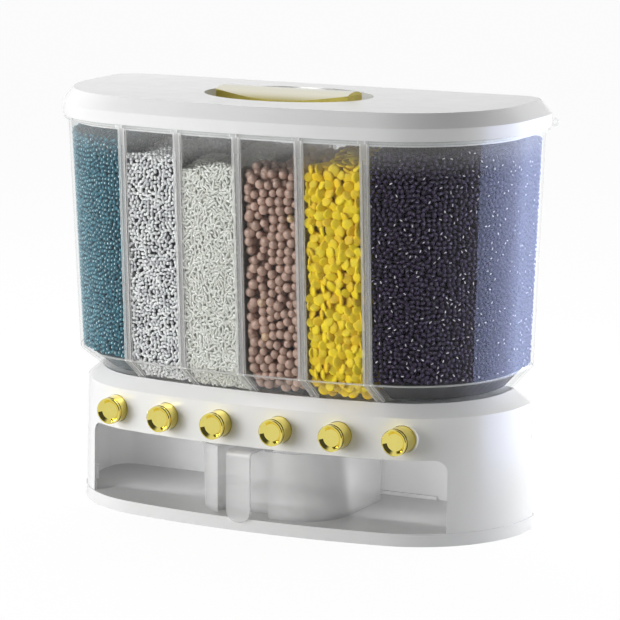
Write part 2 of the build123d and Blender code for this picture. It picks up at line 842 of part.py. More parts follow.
os.makedirs("parts", exist_ok=True)
make_tray()
make_tray_screws()
make_housing()
make_deck()
make_hopper()
for place, button_x in enumerate(button_xs, 1):
    make_button(place, button_x)
    make_guide(place, button_x)
    make_shutter(place, button_x)
    make_spring(place, button_x)
make_tank()
for place, divider_x in enumerate(divider_xs, 1):
    make_divider(place, divider_x)
make_lid()
make_seal()
make_handle()
make_handle_screws()
make_cup()
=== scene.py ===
"""Looks of the wall-hung dry food dispenser: clear tank, white base, gilt buttons and grain fillings."""

from __future__ import annotations

import logging
import math
import random
from dataclasses import astuple, dataclass, field
from enum import Enum
from typing import Any, Sequence

import bmesh
import bpy
import numpy as np
from mathutils import Euler, Matrix, Vector
from mathutils.kdtree import KDTree


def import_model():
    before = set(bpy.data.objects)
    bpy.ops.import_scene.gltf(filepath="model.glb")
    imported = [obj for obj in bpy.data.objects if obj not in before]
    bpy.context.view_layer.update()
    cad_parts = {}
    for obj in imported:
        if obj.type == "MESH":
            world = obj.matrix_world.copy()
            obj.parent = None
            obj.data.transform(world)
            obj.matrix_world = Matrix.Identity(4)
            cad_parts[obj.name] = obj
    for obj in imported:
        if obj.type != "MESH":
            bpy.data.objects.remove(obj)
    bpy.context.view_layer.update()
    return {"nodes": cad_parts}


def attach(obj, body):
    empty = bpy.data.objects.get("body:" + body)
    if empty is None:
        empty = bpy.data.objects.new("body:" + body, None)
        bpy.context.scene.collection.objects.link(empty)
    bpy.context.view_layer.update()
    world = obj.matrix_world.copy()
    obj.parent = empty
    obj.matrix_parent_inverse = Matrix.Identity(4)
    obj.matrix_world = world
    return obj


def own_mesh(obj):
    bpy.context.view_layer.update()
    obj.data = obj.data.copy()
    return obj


log = logging.getLogger("dispenser")

Colour = tuple[float, float, float]
Point = tuple[float, float, float]
Spot = tuple[float, float, float, float]
Outline = list[tuple[float, float]]
Socket = bpy.types.NodeSocket

MM = 0.001
QUARTER_TURN = math.pi / 2
ROW_RISE = 0.87  # height of one row of close-packed round grains, in spacings


class Wire:
    """A number on a shader socket that takes part in Python sums."""

    def __init__(self, bench: Bench, socket: Socket) -> None:
        """Hold a socket.

        Args:
            bench: The material's node bench.
            socket: The output socket that carries the number.
        """
        self.bench = bench
        self.socket = socket

    def _sum(self, operation: str, first: Any, second: Any) -> Wire:
        """Add one Math node.

        Args:
            operation: The Math node's operation.
            first: A wire or a number.
            second: A wire or a number.

        Returns:
            The wire of the result.
        """
        node = self.bench.node("ShaderNodeMath", {"operation": operation}, {0: first, 1: second})
        return Wire(self.bench, node.outputs[0])

    def __add__(self, other: Any) -> Wire:
        """Sum with a wire or a number."""
        return self._sum("ADD", self, other)

    def __sub__(self, other: Any) -> Wire:
        """Difference from a wire or a number."""
        return self._sum("SUBTRACT", self, other)

    def __rsub__(self, other: Any) -> Wire:
        """Difference of a number and this wire."""
        return self._sum("SUBTRACT", other, self)

    def __mul__(self, other: Any) -> Wire:
        """Product with a wire or a number."""
        return self._sum("MULTIPLY", self, other)

    def __pow__(self, other: Any) -> Wire:
        """Power by a wire or a number."""
        return self._sum("POWER", self, other)

    __radd__ = __add__
    __rmul__ = __mul__


class Bench:
    """A new material, or a world, and its nodes."""

    def __init__(self, name: str, world: bpy.types.World | None = None) -> None:
        """Start an empty node tree.

        Args:
            name: The material's name.
            world: The world to work on instead of a new material.
        """
        self.material = world or bpy.data.materials.new(name)
        self.material.use_nodes = True
        self.tree = self.material.node_tree
        self.tree.nodes.clear()
        self.output = self.tree.nodes.new("ShaderNodeOutputWorld" if world else "ShaderNodeOutputMaterial")

    def node(self, kind: str, settings: dict[str, Any] | None = None,
             inputs: dict[Any, Any] | None = None) -> bpy.types.Node:
        """Add a node.

        Args:
            kind: The node's type.
            settings: Attributes that are set first; stops are given as "stops".
            inputs: Values, wires or sockets by socket name or number.

        Returns:
            The node.
        """
        made = self.tree.nodes.new(kind)
        for key, value in (settings or {}).items():
            if key == "stops":
                self._stops(made, value)
            else:
                setattr(made, key, value)
        for key, value in (inputs or {}).items():
            socket = made.inputs[key]
            if isinstance(value, Wire):
                self.tree.links.new(value.socket, socket)
            elif isinstance(value, Socket):
                self.tree.links.new(value, socket)
            else:
                socket.default_value = value
        return made

    @staticmethod
    def _stops(ramp: bpy.types.Node, stops: Sequence[tuple[float, Colour]]) -> None:
        """Set a colour ramp's stops.

        Args:
            ramp: The ColorRamp node.
            stops: Places and colours in rising order.
        """
        elements = ramp.color_ramp.elements
        while len(elements) > 1:
            elements.remove(elements[-1])
        elements[0].position = stops[0][0]
        elements[0].color = (*stops[0][1], 1)
        for place, colour in stops[1:]:
            elements.new(place).color = (*colour, 1)

    def place(self) -> Socket:
        """Object coordinates."""
        return self.node("ShaderNodeTexCoord").outputs["Object"]

    def noise(self, scale: float, detail: float = 3.0, roughness: float = 0.55) -> Wire:
        """Soft noise on the object's coordinates.

        Args:
            scale: Cells to the metre.
            detail: Octaves.
            roughness: Weight of the finer octaves.

        Returns:
            The noise as a number.
        """
        made = self.node("ShaderNodeTexNoise", None,
                         {"Vector": self.place(), "Scale": scale, "Detail": detail, "Roughness": roughness})
        return Wire(self, made.outputs["Fac"])

    def ramp(self, wire: Wire, stops: Sequence[tuple[float, Colour]]) -> Socket:
        """Colour from a number, by stops with places and colours."""
        return self.node("ShaderNodeValToRGB", {"stops": stops}, {"Fac": wire}).outputs["Color"]

    def rise(self, wire: Wire, low: float, high: float) -> Wire:
        """A smooth step from 0 at low to 1 at high."""
        made = self.node("ShaderNodeMapRange", {"interpolation_type": "SMOOTHSTEP"},
                         {"Value": wire, "From Min": low, "From Max": high, "To Min": 0.0, "To Max": 1.0})
        return Wire(self, made.outputs["Result"])

    def window(self, wire: Wire, half: float, soft: float) -> Wire:
        """1 where the number is nearer to zero than half, with soft edges."""
        size = Wire(self, self.node("ShaderNodeMath", {"operation": "ABSOLUTE"}, {0: wire}).outputs[0])
        return 1.0 - self.rise(size, half - soft, half + soft)

    def limited(self, wire: Wire) -> Wire:
        """The number kept between 0 and 1."""
        return Wire(self, self.node("ShaderNodeClamp", None, {"Value": wire}).outputs[0])

    def paint_top_shading(self, colour: Socket, top: Colour) -> Socket:
        """Paint a colour on upward faces, standing in for the light and shade that they catch.

        Args:
            colour: The colour elsewhere.
            top: The painted colour of upward faces.

        Returns:
            The mixed colour.
        """
        normal = self.node("ShaderNodeNewGeometry").outputs["Normal"]
        upward = Wire(self, self.node("ShaderNodeSeparateXYZ", None, {0: normal}).outputs[2])
        return self.node("ShaderNodeMix", {"data_type": "RGBA"},
                         {0: self.rise(upward, 0.75, 0.95), 6: colour, 7: (*top, 1)}).outputs[2]

    def bump(self, height: Wire, strength: float, distance: float) -> Socket:
        """A normal from a height; distance is the height of one unit in metres."""
        return self.node("ShaderNodeBump", None,
                         {"Strength": strength, "Distance": distance, "Height": height}).outputs["Normal"]

    def surface(self, settings: dict[str, Any]) -> bpy.types.Node:
        """Add the Principled shader with values or links by socket name."""
        return self.node("ShaderNodeBsdfPrincipled", None, settings)

    def finish(self, shader: Socket) -> bpy.types.Material:
        """Link the last shader's output and return the material."""
        self.tree.links.new(shader, self.output.inputs["Surface"])
        return self.material


@dataclass(frozen=True)
class MouldedPlastic:
    """Opaque moulded plastic with a fine skin and a faint flow pattern."""

    name: str
    colour: Colour
    shade: Colour
    roughness: float = 0.25
    skin: float = 0.04
    # painted colour of upward faces, standing in for the shade they lie in
    top: Colour | None = None

    def build(self) -> bpy.types.Material:
        """Make the material."""
        bench = Bench(self.name)
        flow = bench.noise(14.0, 2.0)
        fine = bench.noise(1600.0, 2.0)
        colour = bench.ramp(flow, [(0.3, self.shade), (0.7, self.colour)])
        shader = bench.surface({
            "Base Color": bench.paint_top_shading(colour, self.top) if self.top else colour,
            "Roughness": self.roughness + (bench.noise(60.0) - 0.5) * 0.08,
            "Normal": bench.bump(fine, self.skin, 0.0001),
            "IOR": 1.5,
        })
        return bench.finish(shader.outputs["BSDF"])


@dataclass(frozen=True)
class ClearPlastic:
    """See-through plastic that mirrors more at grazing angles and is milky in places.

    The bands are places on X where dividers meet the wall, with a thin line at both sides: a band stands in
    for a clear divider edge seen through the wall, its milk partly painted light caught in that edge, and the
    lines are painted highlights. A painted reflection of the lid's inside grows from fog_foot to fog_top, and
    the fold is a painted highlight line at the height fold_z.
    """

    name: str
    tint: Colour
    milk: Colour
    haze: float
    roughness: float = 0.03
    bands: tuple[float, ...] = ()
    band_half: float = 0.0035
    band_milk_and_light: float = 0.22
    line_half: float = 0.0006
    line_highlight: float = 0.28
    fog_foot: float = 1.0
    fog_top: float = 2.0
    painted_lid_reflection: float = 0.0
    fold_z: float = -1.0
    fold_half: float = 0.0007
    fold_highlight: float = 0.4
    edge: float = 0.4
    gloss: float = 0.004
    leaning_gloss: float = 0.12
    grazing_gloss: float = 0.40

    def build(self) -> bpy.types.Material:
        """Make the material."""
        bench = Bench(self.name)
        wave = bench.noise(6.0, 1.0)
        clear = bench.node("ShaderNodeBsdfTransparent", None, {"Color": (*self.tint, 1)})
        gloss = bench.surface({
            "Base Color": (1, 1, 1, 1),
            "Metallic": 1.0,
            "Roughness": self.roughness + wave * 0.02,
            "Normal": bench.bump(wave, 0.1, 0.002),
        })
        shiny = bench.node("ShaderNodeMixShader", None,
                           {0: self._glossiness(bench), 1: clear.outputs["BSDF"], 2: gloss.outputs["BSDF"]})
        milky = bench.surface({
            "Base Color": bench.ramp(wave, [(0.3, tuple(0.94 * c for c in self.milk)), (0.7, self.milk)]),
            "Roughness": 0.35,
            "IOR": 1.49,
        })
        whole = bench.node("ShaderNodeMixShader", None,
                           {0: self._milkiness(bench), 1: shiny.outputs["Shader"], 2: milky.outputs["BSDF"]})
        return bench.finish(whole.outputs["Shader"])

    def _glossiness(self, bench: Bench) -> Wire:
        """The share of gloss: little face-on, more at grazing angles, nothing on inner faces."""
        facing = Wire(bench, bench.node("ShaderNodeLayerWeight", None, {"Blend": 0.5}).outputs["Facing"])
        outer = 1.0 - Wire(bench, bench.node("ShaderNodeNewGeometry").outputs["Backfacing"])
        return (facing ** 5.0 * self.grazing_gloss + facing * self.leaning_gloss + self.gloss) * outer

    def _milkiness(self, bench: Bench) -> Wire:
        """The share of milk: bands at the dividers with painted light in them, a painted reflection of the
        lid's inside under the lid, a painted highlight line at the fold.
        """
        axes = bench.node("ShaderNodeSeparateXYZ", None, {0: bench.place()})
        x, z = Wire(bench, axes.outputs[0]), Wire(bench, axes.outputs[2])
        share = self.haze + bench.noise(40.0) * 0.004
        # divider bands: milk and painted light for the clear edges, painted highlight lines at their sides
        for middle in self.bands:
            share = share + bench.window(x - middle, self.band_half, 0.0003) * self.band_milk_and_light
            for side in (-1.0, 1.0):
                place = middle + side * (self.band_half - self.line_half)
                share = share + bench.window(x - place, self.line_half, 0.0002) * self.line_highlight
        # painted reflection of the lid's inside, growing towards the top
        if self.painted_lid_reflection > 0:
            share = share + bench.rise(z, self.fog_foot, self.fog_top) * self.painted_lid_reflection
        # painted highlight line along the fold
        if self.fold_z > 0:
            share = share + bench.window(z - self.fold_z, self.fold_half, 0.0003) * self.fold_highlight
        facing = Wire(bench, bench.node("ShaderNodeLayerWeight", None, {"Blend": 0.5}).outputs["Facing"])
        return bench.limited(share + facing ** 12.0 * self.edge)


@dataclass(frozen=True)
class PlatedMetal:
    """Polished plated metal with faint cloudiness and hairline marks."""

    name: str
    colour: Colour
    shade: Colour
    roughness: float
    # painted colour of upward faces, standing in for a bright reflection
    top: Colour | None = None

    def build(self) -> bpy.types.Material:
        """Make the material."""
        bench = Bench(self.name)
        cloud = bench.noise(120.0, 3.0)
        colour = bench.ramp(cloud, [(0.25, self.shade), (0.75, self.colour)])
        shader = bench.surface({
            "Base Color": bench.paint_top_shading(colour, self.top) if self.top else colour,
            "Roughness": self.roughness + cloud * 0.04,
            "Metallic": 1.0,
            "Normal": bench.bump(bench.noise(900.0), 0.01, 0.0001),
        })
        return bench.finish(shader.outputs["BSDF"])


@dataclass(frozen=True)
class SoftRubber:
    """Soft seal rubber with a powdery skin."""

    name: str = "seal_rubber"
    colour: Colour = (0.78, 0.79, 0.78)

    def build(self) -> bpy.types.Material:
        """Make the material."""
        bench = Bench(self.name)
        dust = bench.noise(300.0)
        shader = bench.surface({
            "Base Color": bench.ramp(dust, [(0.3, tuple(0.93 * c for c in self.colour)), (0.7, self.colour)]),
            "Roughness": 0.6 + dust * 0.2,
            "Normal": bench.bump(dust, 0.2, 0.0002),
        })
        return bench.finish(shader.outputs["BSDF"])


@dataclass(frozen=True)
class GrainFinish:
    """Skin of one kind of grain; every grain takes its own shade."""

    name: str
    shades: tuple[tuple[float, Colour], ...]
    roughness: float
    coat: float = 0.0
    dimple: float = 0.1
    dimple_scale: float = 500.0

    def build(self) -> bpy.types.Material:
        """Make the material."""
        bench = Bench(self.name)
        own = Wire(bench, bench.node("ShaderNodeNewGeometry").outputs["Random Per Island"])
        marks = bench.noise(self.dimple_scale, 2.0)
        shader = bench.surface({
            "Base Color": bench.ramp(own, self.shades),
            "Roughness": self.roughness + (marks - 0.5) * 0.12,
            "Coat Weight": self.coat,
            "Coat Roughness": 0.1,
            "Normal": bench.bump(marks, self.dimple, 0.0004),
        })
        return bench.finish(shader.outputs["BSDF"])


class GrainShape(Enum):
    """The kinds of grain, by their form."""

    BEAD = "bead"
    SEED = "seed"
    RICE = "rice"
    BALL = "ball"
    DISC = "disc"
    BEAN = "bean"

    @property
    def fineness(self) -> tuple[int, int]:
        """Segments and rings of the plain form: small grains need few."""
        if self in (GrainShape.BALL, GrainShape.DISC):
            return 12, 7
        return 6, 4


@dataclass(frozen=True)
class Grain:
    """One grain: its form, its three sizes in metres and how its form leaves the plain ellipsoid."""

    shape: GrainShape
    length: float
    width: float
    thickness: float
    seed_taper: float = 0.3
    rice_curve: float = 0.05
    bean_curve: float = 0.06
    disc_curl: float = 0.04
    disc_middle: float = 0.62
    disc_rim: float = 0.38

    def model(self) -> bpy.types.Object:
        """Model one grain at the origin with its long axis along X."""
        segments, rings = self.shape.fineness
        bpy.ops.mesh.primitive_uv_sphere_add(segments=segments, ring_count=rings, radius=0.5)
        grain = bpy.context.object
        bpy.ops.object.mode_set(mode="EDIT")
        bpy.ops.mesh.select_all(action="SELECT")
        flat = self.shape is GrainShape.DISC
        axis = "X" if flat else "Y"
        bpy.ops.transform.rotate(value=QUARTER_TURN, orient_axis=axis, center_override=(0, 0, 0))
        bpy.ops.transform.resize(value=(self.length, self.thickness, self.width))
        bpy.ops.object.mode_set(mode="OBJECT")
        for vertex in grain.data.vertices:
            vertex.co = self._bent(vertex.co)
        for polygon in grain.data.polygons:
            polygon.use_smooth = True
        return grain

    def _bent(self, place: Vector) -> Vector:
        """Draw a vertex to the grain's true form.

        Args:
            place: The vertex on the plain ellipsoid.

        Returns:
            The new place.
        """
        along = 2 * place.x / self.length
        if self.shape is GrainShape.SEED:
            keep = 1 - self.seed_taper * max(0.0, along)
            return Vector((place.x, place.y * keep, place.z * keep))
        if self.shape is GrainShape.RICE:
            return Vector((place.x, place.y, place.z + self.rice_curve * self.length * along * along))
        if self.shape is GrainShape.BEAN:
            return Vector((place.x, place.y, place.z - self.bean_curve * self.length * (1 - along * along)))
        if self.shape is GrainShape.DISC:
            radius = min(1.0, math.hypot(place.x, place.z) * 2 / self.length)
            dent = self.disc_middle + self.disc_rim * radius ** 3
            curl = self.disc_curl * self.length * along * along
            return Vector((place.x, place.y * dent + curl, place.z))
        return place


@dataclass(frozen=True)
class Plan:
    """An outline seen from above: bowed front, round corners and straight back.

    half is half the width, front and back are distances from the wall, and bow, corner and rear are the radii
    of the front, the front corners and the rear corners.
    """

    half: float
    front: float
    back: float
    bow: float
    corner: float
    rear: float

    def blend(self, other: Plan, share: float) -> Plan:
        """The outline between two heights.

        Args:
            other: The upper outline.
            share: 0 for this one, 1 for the other.

        Returns:
            The outline between them.
        """
        pairs = zip(astuple(self), astuple(other))
        return Plan(*(low + (high - low) * share for low, high in pairs))

    def inset(self, amount: float) -> Plan:
        """The outline moved inwards."""
        return Plan(self.half - amount, self.front - amount, self.back + amount, self.bow - amount,
                    self.corner - amount, max(self.rear - amount, 0.001))

    def outline(self, wall_y: float, steps: int = 12) -> Outline:
        """Points round the outline, anticlockwise from the front's left end.

        Args:
            wall_y: The wall's place on Y.
            steps: Points on each corner.

        Returns:
            The points.
        """
        corner_x = self.half - self.corner
        reach = self.bow - self.corner
        rise = math.sqrt(reach ** 2 - corner_x ** 2)
        lean = math.asin(corner_x / reach)
        centre_y = wall_y - self.front + self.bow
        front_steps = 3 * steps
        points = []
        for step in range(front_steps + 1):
            turn = -lean + 2 * lean * step / front_steps
            points.append((self.bow * math.sin(turn), centre_y - self.bow * math.cos(turn)))
        for step in range(1, steps + 1):
            turn = lean + (QUARTER_TURN - lean) * step / steps
            points.append((corner_x + self.corner * math.sin(turn),
                           centre_y - rise - self.corner * math.cos(turn)))
        rear_x, rear_y = self.half - self.rear, wall_y - self.back - self.rear
        for step in range(steps + 1):
            turn = QUARTER_TURN * step / steps
            points.append((rear_x + self.rear * math.cos(turn), rear_y + self.rear * math.sin(turn)))
        left = [(-x, y) for x, y in reversed(points[front_steps + 1:])]
        return points + left


@dataclass(frozen=True)
class TankHollow:
    """The inside of the tank by height, in metres."""

    wall_y: float = 0.092
    foot_z: float = 0.116
    knee_z: float = 0.134
    top_z: float = 0.333
    foot: Plan = Plan(0.1815, 0.1455, 0.037, 0.7055, 0.082, 0.0065)
    knee: Plan = Plan(0.1951, 0.1691, 0.0149, 0.7321, 0.0911, 0.0181)
    top: Plan = Plan(0.2032, 0.1772, 0.0068, 0.7402, 0.0992, 0.0262)

    def at(self, z: float) -> Plan:
        """The outline at a height."""
        if z < self.knee_z:
            return self.foot.blend(self.knee, (z - self.foot_z) / (self.knee_z - self.foot_z))
        return self.knee.blend(self.top, (z - self.knee_z) / (self.top_z - self.knee_z))


def ordered(mesh: bpy.types.Mesh) -> tuple[np.ndarray, list[tuple[int, ...]]]:
    """The corners and faces of a mesh in an order that is the same at each run."""
    order = sorted(range(len(mesh.vertices)), key=lambda index: tuple(mesh.vertices[index].co))
    rank = {old: new for new, old in enumerate(order)}
    rings = [[rank[index] for index in polygon.vertices] for polygon in mesh.polygons]
    faces = sorted(tuple(ring[ring.index(min(ring)):] + ring[:ring.index(min(ring))]) for ring in rings)
    return np.array([tuple(mesh.vertices[index].co) for index in order]), faces


@dataclass
class Filling:
    """What one compartment holds: a skin of single grains over a core coloured to stand in for the shaded
    grains inside.

    left, right, top and bottom bound it. Its grains lie a spacing apart after some rounds in which they push
    each other away. heap is the height of the waves on top and lie how far the grains tilt. levels and ring
    say how finely the walls are measured. Grains that a divider hides are left out, except as near to the
    front, the back and the top as the show sizes say. The wall, layer, sink, heap and core shares are in
    grain sizes.
    """

    name: str
    grain: Grain
    finish: GrainFinish
    left: float
    right: float
    top: float
    bottom: float
    spacing: float
    heap: float = 0.004
    layers: int = 2
    lie: float = 0.5
    seed: int = 1
    # colour of the core: painted shade that stands in for the grains behind the skin
    core_shade_colour: Colour = (0.1, 0.1, 0.1)
    core_foot: float = 0.0
    core_depth: float = 1.5
    smallest: float = 0.88
    largest: float = 1.06
    rounds: int = 5
    push: float = 0.4
    levels: int = 24
    ring: int = 480
    core_ring: int = 40
    wall_gap: float = 0.55
    layer_step: float = 0.85
    sink: float = 0.13
    wave_x: float = 95.0
    wave_y: float = 70.0
    heap_gap: float = 0.6
    heap_cover: float = 0.5
    heap_step: float = 0.8
    scatter: Point = (0.25, 0.3, 0.2)
    show_front: float = 0.06
    show_back: float = 0.047
    show_least: float = 0.02
    show_top: float = 0.03
    # dashes on the wall grains: real pale eyes on some kinds, painted highlights on others
    eye_and_glint: Grain | None = None
    eye_finish: GrainFinish | None = None
    eye_share: float = 0.0
    eye_spin: float = math.pi
    eye_lie: float = 0.1
    eye_proud: float = 0.52
    hollow: TankHollow = field(default_factory=TankHollow)

    def surface_z(self, x: float, y: float) -> float:
        """Height of the filling's wavy top at a place."""
        wave = math.sin(x * self.wave_x + self.seed) * math.cos(y * self.wave_y + 2 * self.seed)
        return self.top + self.heap * wave

    def cell(self, z: float, inset: float) -> Outline:
        """The compartment's outline at a height, moved inwards.

        Args:
            z: The height.
            inset: The distance from the walls.

        Returns:
            The outline's points.
        """
        points = self.hollow.at(z).inset(inset).outline(self.hollow.wall_y)
        points = self._cut(points, self.left + inset, 1.0)
        return self._cut(points, self.right - inset, -1.0)

    @staticmethod
    def _cut(points: Outline, limit: float, side: float) -> Outline:
        """Keep the part of a convex outline on one side of a line across X.

        Args:
            points: The outline.
            limit: The line's X.
            side: 1 keeps the right, -1 the left.

        Returns:
            The outline that is left.
        """
        kept = []
        for (x0, y0), (x1, y1) in zip(points, points[1:] + points[:1]):
            inside, following = (x0 - limit) * side >= 0, (x1 - limit) * side >= 0
            if inside:
                kept.append((x0, y0))
            if inside != following:
                share = (limit - x0) / (x1 - x0)
                kept.append((limit, y0 + (y1 - y0) * share))
        return kept

    def even_cell(self, z: float, inset: float, count: int) -> Outline:
        """The compartment's outline as a fixed number of points, from the front's left end.

        Args:
            z: The height.
            inset: The distance from the walls.
            count: How many points.

        Returns:
            The points.
        """
        points = self.cell(z, inset)
        start = min(range(len(points)), key=lambda index: points[index][0] + points[index][1])
        points = points[start:] + points[:start]
        closed = np.array(points + points[:1])
        along = np.concatenate([[0.0], np.cumsum(np.hypot(*np.diff(closed, axis=0).T))])
        wanted = np.arange(count) * along[-1] / count
        return list(zip(np.interp(wanted, along, closed[:, 0]), np.interp(wanted, along, closed[:, 1])))

    def hidden(self, x: float, z: float) -> bool:
        """Whether a place at a divider lies so deep that its neighbours hide it."""
        at_divider = min(abs(x - self.left), abs(x - self.right)) < 2 * self.spacing
        inner = abs(x) < self.hollow.at(z).half - 3 * self.spacing
        return at_divider and inner and self.hollow.knee_z < z < self.top - self.show_top

    def settled(self, low: float, high: float, girth: float, chance: random.Random) -> Outline:
        """Spread grains evenly over the unrolled wall, as if they had settled.

        Args:
            low: Height of the lowest grains.
            high: Height of the highest grains.
            girth: Length round the compartment.
            chance: The source of the first places.

        Returns:
            Places as length along the wall and height.
        """
        rise = self.spacing * ROW_RISE
        spots = [((column + chance.random()) * self.spacing, low + (row + chance.random()) * rise)
                 for row in range(int((high - low) / rise)) for column in range(int(girth / self.spacing))]
        reach = self.spacing
        for _ in range(self.rounds):
            tree = KDTree(len(spots))
            for index, (along, z) in enumerate(spots):
                tree.insert((along, z, 0), index)
            tree.balance()
            moved = []
            for along, z in spots:
                near = [(spot, gap) for spot, _, gap in tree.find_range((along, z, 0), reach) if gap > 0]
                push = [(reach - gap) / gap * self.push for _, gap in near]
                moved.append((along + sum((along - spot[0]) * share for (spot, _), share in zip(near, push)),
                              z + sum((z - spot[1]) * share for (spot, _), share in zip(near, push))))
            spots = [(along, min(max(z, low), high)) for along, z in moved]
        return spots

    def wall_places(self, layer: int) -> list[Spot]:
        """Places of the grains that lie against the walls.

        Args:
            layer: 0 on the wall, 1 behind it.

        Returns:
            The places.
        """
        chance = random.Random(self.seed * 10 + layer)
        inset = self.grain.thickness * (self.wall_gap + self.layer_step * layer)
        low, high = self.bottom + self.grain.thickness / 2, self.top + 2 * self.heap
        levels = np.linspace(low, high, self.levels)
        sunk = [inset + (self.sink * self.grain.length if z < self.hollow.knee_z else 0.0) for z in levels]
        sheet = np.array([self.even_cell(z, depth, self.ring) for z, depth in zip(levels, sunk)])
        strides = np.roll(sheet, -1, axis=1) - sheet
        girth = float(np.hypot(strides[..., 0], strides[..., 1]).sum(axis=1).mean())
        foremost = self.hollow.wall_y - self.hollow.top.front
        hidden_from = foremost + max(self.show_least, 5 * self.spacing)
        hidden_to = self.hollow.wall_y - self.show_back
        places = []
        for along, z in self.settled(low, high, girth, chance):
            level = min((z - low) / (high - low) * (self.levels - 1), self.levels - 1.001)
            index = int(along / girth * self.ring) % self.ring
            share = level - int(level)
            x, y = sheet[int(level), index] * (1 - share) + sheet[int(level) + 1, index] * share
            stride = strides[int(level), index]
            at_side = min(abs(x - self.left), abs(x - self.right)) <= self.spacing
            deep = layer > 0 and y > foremost + self.show_front
            if z > self.surface_z(x, y) - self.grain.thickness or (deep and not at_side):
                continue
            if hidden_to > y > hidden_from and self.hidden(x, z):
                continue
            places.append((float(x), float(y), z, math.atan2(stride[1], stride[0])))
        return places

    def heap_places(self) -> list[Spot]:
        """Places of the grains on the filling's top."""
        chance = random.Random(self.seed * 10 + 7)
        cell = self.cell(self.top, self.grain.thickness * self.heap_gap)
        thickness, (scatter_x, scatter_y, scatter_z) = self.grain.thickness, self.scatter
        low_y, high_y = min(y for _, y in cell), max(y for _, y in cell)
        places = []
        for level in range(2):
            row = 0
            y = low_y
            while y < high_y:
                row_cell = self._crossing(cell, y)
                x = (min(row_cell) if row_cell else 0) + (row % 2) * self.spacing / 2
                while row_cell and x < max(row_cell):
                    z = self.surface_z(x, y) - thickness * (self.heap_cover + self.heap_step * level)
                    places.append((x + chance.uniform(-scatter_x, scatter_x) * self.spacing,
                                   y + chance.uniform(0, scatter_y) * self.spacing,
                                   z + chance.uniform(-scatter_z, scatter_z) * thickness,
                                   chance.uniform(-math.pi, math.pi)))
                    x += self.spacing
                y += self.spacing * ROW_RISE
                row += 1
        return places

    @staticmethod
    def _crossing(points: Outline, y: float) -> list[float]:
        """The places on X where an outline crosses a line of constant Y."""
        found = []
        for (x0, y0), (x1, y1) in zip(points, points[1:] + points[:1]):
            if (y0 - y) * (y1 - y) < 0:
                found.append(x0 + (x1 - x0) * (y - y0) / (y1 - y0))
        return found

    @staticmethod
    def carry(mesh: bpy.types.Mesh, material: bpy.types.Material) -> None:
        """Put a mesh into the scene as a piece that rides on the dispenser.

        Args:
            mesh: The mesh, which also names the piece.
            material: Its material.
        """
        mesh.materials.append(material)
        piece = bpy.data.objects.new(mesh.name, mesh)
        bpy.context.collection.objects.link(piece)
        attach(piece, "dispenser")

    def spread(self, name: str, pattern: bpy.types.Object, material: bpy.types.Material, places: list[Spot],
               seed: int, flat: bool = False, lie: float | None = None, spin: float = math.pi) -> None:
        """Copy the grain to every place, as one piece.

        Args:
            name: The piece's name.
            pattern: The grain.
            material: The grains' material.
            places: Where the copies go, and the wall's turn there.
            seed: For their turns and sizes.
            flat: True where the grains lie on a heap instead of against a wall.
            lie: How far they tilt, or nothing for the filling's own tilt.
            spin: How far they turn from upright.
        """
        chance = random.Random(seed)
        corners, faces = ordered(pattern.data)
        clouds = []
        sides = []
        for number, place in enumerate(places):
            most = self.lie if lie is None else lie
            tilt = [chance.uniform(-most, most) * math.pi / 2 for _ in range(2)]
            turn = Euler((tilt[0], QUARTER_TURN + chance.uniform(-spin, spin), tilt[1])).to_matrix()
            if flat:
                turn = Matrix.Rotation(QUARTER_TURN, 3, "X") @ turn
            turn = Matrix.Rotation(place[3], 3, "Z") @ turn
            size = chance.uniform(self.smallest, self.largest)
            clouds.append(corners @ np.array(turn).T * size + np.array(place[:3]))
            first = number * len(corners)
            sides.extend(tuple(first + index for index in face) for face in faces)
        mesh = bpy.data.meshes.new(name)
        mesh.from_pydata(np.concatenate(clouds).tolist(), [], sides)
        mesh.polygons.foreach_set("use_smooth", [True] * len(mesh.polygons))
        mesh.update()
        self.carry(mesh, material)
        log.info("%s: %d grains, %d faces", name, len(places), len(mesh.polygons))

    def build(self) -> None:
        """Model the grains and the core."""
        pattern = self.grain.model()
        material = self.finish.build()
        walls = [self.wall_places(layer) for layer in range(self.layers)]
        for layer, places in enumerate(walls):
            self.spread(f"{self.name}_layer_{layer + 1}", pattern, material, places, self.seed + layer)
        self.spread(f"{self.name}_top", pattern, material, self.heap_places(), self.seed + 50, flat=True)
        bpy.data.objects.remove(pattern)
        self.build_core()
        if self.eye_and_glint:
            self.build_eyes_and_glints(walls[0])

    def build_eyes_and_glints(self, outer: list[Spot]) -> None:
        """Model the dashes on grains at the wall: real pale eyes on some, painted highlights on others.

        Args:
            outer: Places of the grains on the wall.
        """
        chance = random.Random(self.seed * 10 + 9)
        proud = self.grain.thickness * self.eye_proud
        places = []
        for x, y, z, turn in outer:
            if chance.random() < self.eye_share:
                places.append((x + proud * math.sin(turn), y - proud * math.cos(turn), z, turn))
        pattern = self.eye_and_glint.model()
        # one piece for both the real pale eyes and the painted highlights
        self.spread(f"{self.name}_eyes", pattern, self.eye_finish.build(), places, self.seed + 90,
                    lie=self.eye_lie, spin=self.eye_spin)
        bpy.data.objects.remove(pattern)

